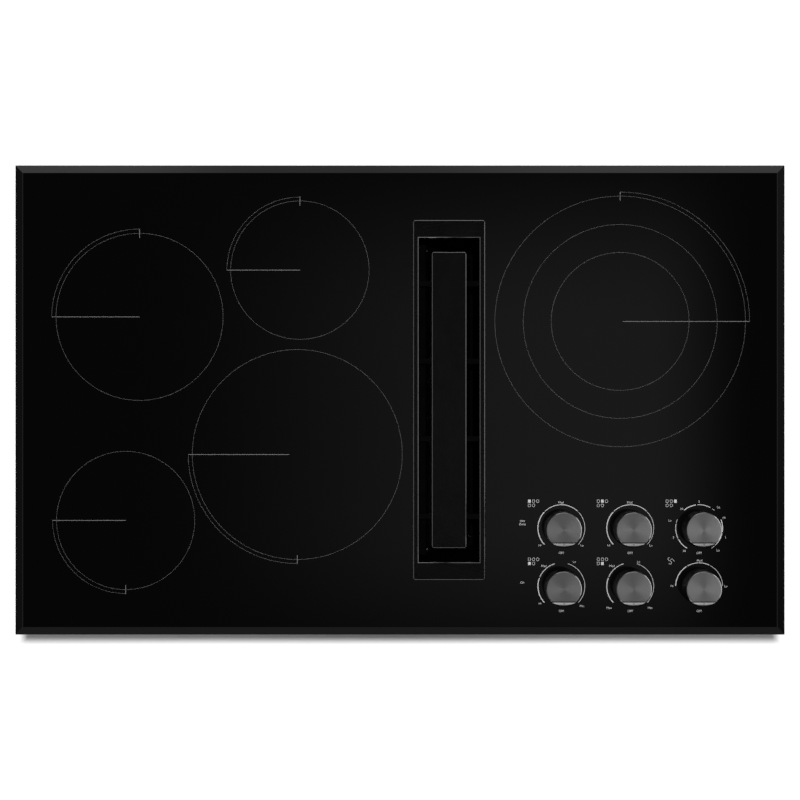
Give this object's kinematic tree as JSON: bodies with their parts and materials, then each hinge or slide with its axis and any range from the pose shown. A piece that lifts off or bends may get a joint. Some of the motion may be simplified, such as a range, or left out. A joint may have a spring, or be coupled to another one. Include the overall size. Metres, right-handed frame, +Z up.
{
  "type": "downdraft cooktop",
  "caption": "Downdraft cooktop: black glass panel with radiant elements, rotary controls and a lift-off vent grille over a grease filter, plenum and blower.",
  "frame": {"origin": "middle of the glass outline, at the countertop's upper face, where the cut-out's centre lies", "axes": "+X towards the user's right, +Y towards the back of the counter, +Z up out of the countertop"},
  "size_m": [0.913, 0.557, 0.5256],
  "materials": {
    "black_glass": "polished black glass-ceramic with thin grey prints",
    "foam_tape": "soft foam",
    "black_enamel": "gloss black enamel",
    "galvanised_sheet": "galvanised sheet with a faint spangle",
    "bright_steel": "bright drawn",
    "motor_paint": "semi-gloss dark grey paint",
    "insulation": "matt moulded fibre",
    "heating_alloy": "oxidised ribbon",
    "lamp_lens": "clear red-amber",
    "switch_moulding": "moulded phenolic",
    "rotor_moulding": "moulded",
    "block_moulding": "moulded",
    "spun_knob": "spun satin grey face with a black side",
    "filter_aluminium": "layered expanded mesh in a rolled frame"
  },
  "bodies": {
    "cooktop": {"glass_panel": "black_glass", "seal_tape": "foam_tape", "burner_box": "galvanised_sheet", "vent_chamber": "black_enamel", "plenum": "galvanised_sheet", "volute_housing": "galvanised_sheet", "blower_cover": "galvanised_sheet", "blower_motor": "motor_paint", "outlet_transition": "galvanised_sheet", "element_dishes": "insulation", "ribbon_rear_left": "heating_alloy", "ribbon_rear_centre": "heating_alloy", "ribbon_front_centre": "heating_alloy", "ribbon_front_left": "heating_alloy", "ribbon_right": "heating_alloy", "heat_limiters": "bright_steel", "element_springs": "bright_steel", "support_rails": "galvanised_sheet", "switch_bracket": "galvanised_sheet", "indicator_lamps": "lamp_lens", "infinite_switches": "switch_moulding", "triple_zone_switch": "switch_moulding", "fan_speed_control": "switch_moulding", "terminal_box": "galvanised_sheet", "terminal_block": "block_moulding", "hold_down_brackets": "galvanised_sheet"},
    "rotor_1": {"rotor_1": "rotor_moulding"},
    "knob_1": {"knob_1": "spun_knob", "spindle_1": "bright_steel"},
    "rotor_2": {"rotor_2": "rotor_moulding"},
    "knob_2": {"knob_2": "spun_knob", "spindle_2": "bright_steel"},
    "rotor_3": {"rotor_3": "rotor_moulding"},
    "knob_3": {"knob_3": "spun_knob", "spindle_3": "bright_steel"},
    "rotor_4": {"rotor_4": "rotor_moulding"},
    "knob_4": {"knob_4": "spun_knob", "spindle_4": "bright_steel"},
    "rotor_5": {"rotor_5": "rotor_moulding"},
    "knob_5": {"knob_5": "spun_knob", "spindle_5": "bright_steel"},
    "rotor_6": {"rotor_6": "rotor_moulding"},
    "knob_6": {"knob_6": "spun_knob", "spindle_6": "bright_steel"},
    "vent_grille": {"grille_frame": "black_enamel", "grille_panel": "black_enamel"},
    "grease_filter": {"filter_frame": "filter_aluminium", "filter_mesh": "filter_aluminium"},
    "blower_wheel": {"blower_wheel": "galvanised_sheet", "motor_shaft": "bright_steel"}
  },
  "joints": [
    {"name": "knob_1_turn", "type": "hinge", "parent": "cooktop", "child": "rotor_1", "pos_m": [0.19122, -0.15189, 0], "axis": [0, 0, 1], "continuous": true},
    {"name": "knob_1_push", "type": "slide", "parent": "rotor_1", "child": "knob_1", "axis": [0, 0, -1], "range_m": [0, 0.0025], "stiffness_N_per_m": 1500, "springref_m": -0.0025},
    {"name": "knob_2_turn", "type": "hinge", "parent": "cooktop", "child": "rotor_2", "pos_m": [0.27284, -0.15189, 0], "axis": [0, 0, 1], "continuous": true},
    {"name": "knob_2_push", "type": "slide", "parent": "rotor_2", "child": "knob_2", "axis": [0, 0, -1], "range_m": [0, 0.0025], "stiffness_N_per_m": 1500, "springref_m": -0.0025},
    {"name": "knob_3_turn", "type": "hinge", "parent": "cooktop", "child": "rotor_3", "pos_m": [0.35445, -0.15189, 0], "axis": [0, 0, 1], "continuous": true},
    {"name": "knob_3_push", "type": "slide", "parent": "rotor_3", "child": "knob_3", "axis": [0, 0, -1], "range_m": [0, 0.0025], "stiffness_N_per_m": 1500, "springref_m": -0.0025},
    {"name": "knob_4_turn", "type": "hinge", "parent": "cooktop", "child": "rotor_4", "pos_m": [0.19122, -0.22074, 0], "axis": [0, 0, 1], "continuous": true},
    {"name": "knob_4_push", "type": "slide", "parent": "rotor_4", "child": "knob_4", "axis": [0, 0, -1], "range_m": [0, 0.0025], "stiffness_N_per_m": 1500, "springref_m": -0.0025},
    {"name": "knob_5_turn", "type": "hinge", "parent": "cooktop", "child": "rotor_5", "pos_m": [0.27284, -0.22074, 0], "axis": [0, 0, 1], "continuous": true},
    {"name": "knob_5_push", "type": "slide", "parent": "rotor_5", "child": "knob_5", "axis": [0, 0, -1], "range_m": [0, 0.0025], "stiffness_N_per_m": 1500, "springref_m": -0.0025},
    {"name": "knob_6_turn", "type": "hinge", "parent": "cooktop", "child": "rotor_6", "pos_m": [0.35445, -0.22074, 0], "axis": [0, 0, 1], "range_deg": [-270, 0]},
    {"name": "knob_6_push", "type": "slide", "parent": "rotor_6", "child": "knob_6", "axis": [0, 0, -1], "range_m": [0, 0.0025], "stiffness_N_per_m": 1500, "springref_m": -0.0025},
    {"name": "grille_lift", "type": "slide", "parent": "cooktop", "child": "vent_grille", "axis": [0, 0, 1], "range_m": [0, 0.24]},
    {"name": "filter_lift", "type": "slide", "parent": "cooktop", "child": "grease_filter", "axis": [0, 0, 1], "range_m": [0, 0.24]},
    {"name": "blower_spin", "type": "hinge", "parent": "cooktop", "child": "blower_wheel", "pos_m": [0.0581, -0.072, -0.368], "axis": [0, 1, 0], "continuous": true}
  ],
  "couplings": [
    {"joint": "filter_lift", "follows": "grille_lift", "ratio": 1}
  ]
}
